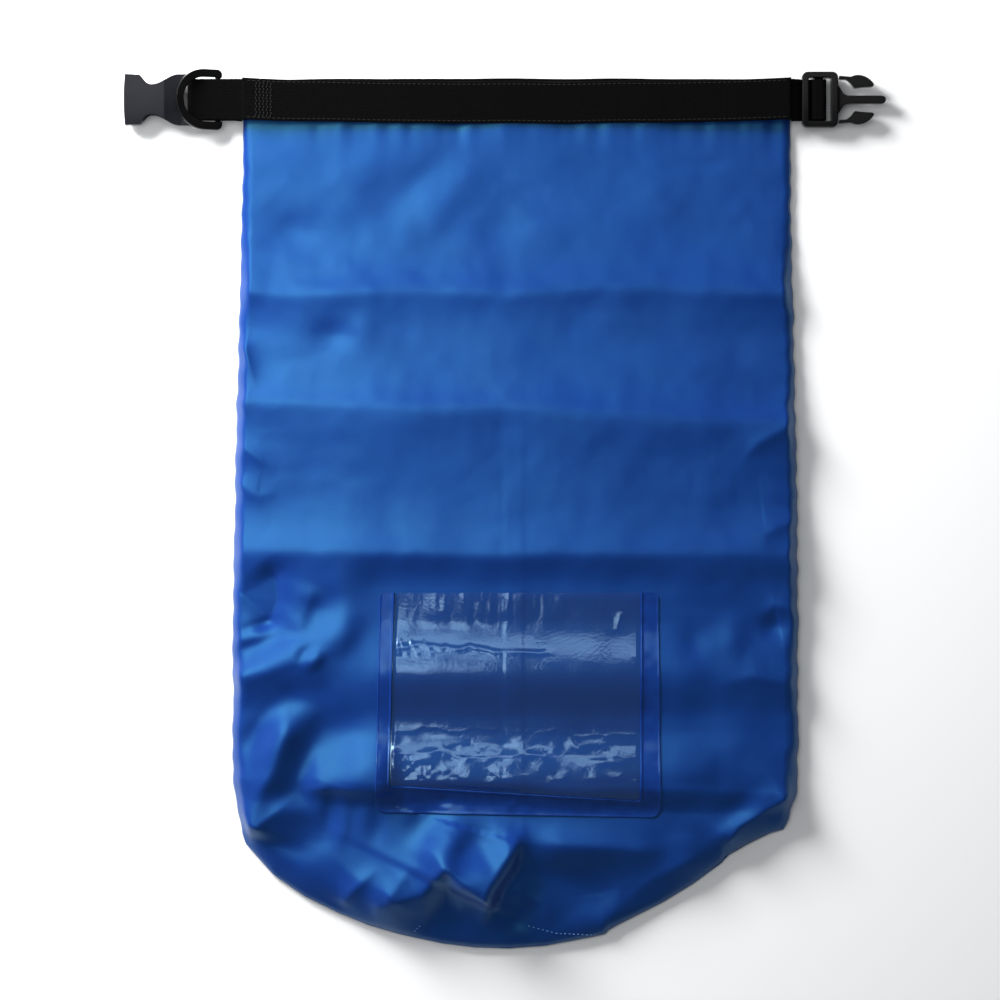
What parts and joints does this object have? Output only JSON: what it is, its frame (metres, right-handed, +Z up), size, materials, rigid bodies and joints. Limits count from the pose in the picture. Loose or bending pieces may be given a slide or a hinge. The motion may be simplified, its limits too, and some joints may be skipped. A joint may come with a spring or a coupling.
{
  "type": "dry bag",
  "caption": "Roll-top dry bag lying flat: welded fabric tube with a folded round base, clear front pocket, stiffened webbing mouth that rolls down, a D-ring and a side-release buckle.",
  "frame": {"origin": "the middle of the footprint of the empty bag, on the surface that it lies on", "axes": "+X across the mouth towards the plug half of the buckle, +Y from the base to the mouth, +Z up out of the front of the bag"},
  "size_m": [0.4572, 0.528, 0.0276],
  "materials": {
    "coated_fabric": "royal blue PVC-coated polyester with a soft sheen",
    "seam_tape": "blue welded seam tape",
    "welded_film": "clear film welded down, glossy",
    "clear_film": "clear flexible PVC",
    "stiffener_plastic": "flexible black strip",
    "webbing": "black woven webbing",
    "buckle_nylon": "black moulded acetal, satin gloss"
  },
  "bodies": {
    "bag": {"bag_wall": "coated_fabric", "base_disc": "coated_fabric", "base_seam_tape": "seam_tape", "back_seam_tape": "seam_tape", "pocket_weld_border": "welded_film", "pocket_window": "clear_film"},
    "neck": {"neck_wall": "coated_fabric", "neck_seam_tape": "seam_tape"},
    "mouth": {"mouth_wall": "coated_fabric", "mouth_stiffener": "stiffener_plastic", "front_band": "webbing", "rear_band": "webbing"},
    "left_tab": {"left_strap_loop": "webbing"},
    "ring": {"d_ring": "buckle_nylon"},
    "socket": {"buckle_socket": "buckle_nylon"},
    "right_tab": {"right_strap_loop": "webbing", "plug_frame": "buckle_nylon"},
    "upper_latch": {"upper_latch_arm": "buckle_nylon"},
    "lower_latch": {"lower_latch_arm": "buckle_nylon"}
  },
  "joints": [
    {"name": "roll_fold_lower", "type": "hinge", "parent": "bag", "child": "neck", "pos_m": [0.007, 0.191, 0.016], "axis": [1, 0, 0], "range_deg": [0, 180]},
    {"name": "roll_fold_upper", "type": "hinge", "parent": "neck", "child": "mouth", "pos_m": [0.007, 0.226, 0.0106], "axis": [1, 0, 0], "range_deg": [0, 180]},
    {"name": "left_tab_swing", "type": "hinge", "parent": "mouth", "child": "left_tab", "pos_m": [-0.1613, 0.246, 0.006], "axis": [0, -1, 0], "range_deg": [-80, 80]},
    {"name": "right_tab_swing", "type": "hinge", "parent": "mouth", "child": "right_tab", "pos_m": [0.1753, 0.246, 0.006], "axis": [0, 1, 0], "range_deg": [-80, 60]},
    {"name": "d_ring_swing", "type": "hinge", "parent": "left_tab", "child": "ring", "pos_m": [-0.1725, 0.246, 0.006], "axis": [0, 1, 0], "range_deg": [0, 130]},
    {"name": "socket_swivel", "type": "hinge", "parent": "left_tab", "child": "socket", "pos_m": [-0.1873, 0.246, 0.006], "axis": [0, 1, 0], "range_deg": [-75, 20]},
    {"name": "upper_latch_flex", "type": "hinge", "parent": "right_tab", "child": "upper_latch", "pos_m": [0.2005, 0.2592, 0.006], "axis": [0, 0, -1], "range_deg": [0, 8], "stiffness_Nm_per_rad": 1.5},
    {"name": "lower_latch_flex", "type": "hinge", "parent": "right_tab", "child": "lower_latch", "pos_m": [0.2005, 0.2328, 0.006], "axis": [0, 0, 1], "range_deg": [0, 8], "stiffness_Nm_per_rad": 1.5}
  ]
}
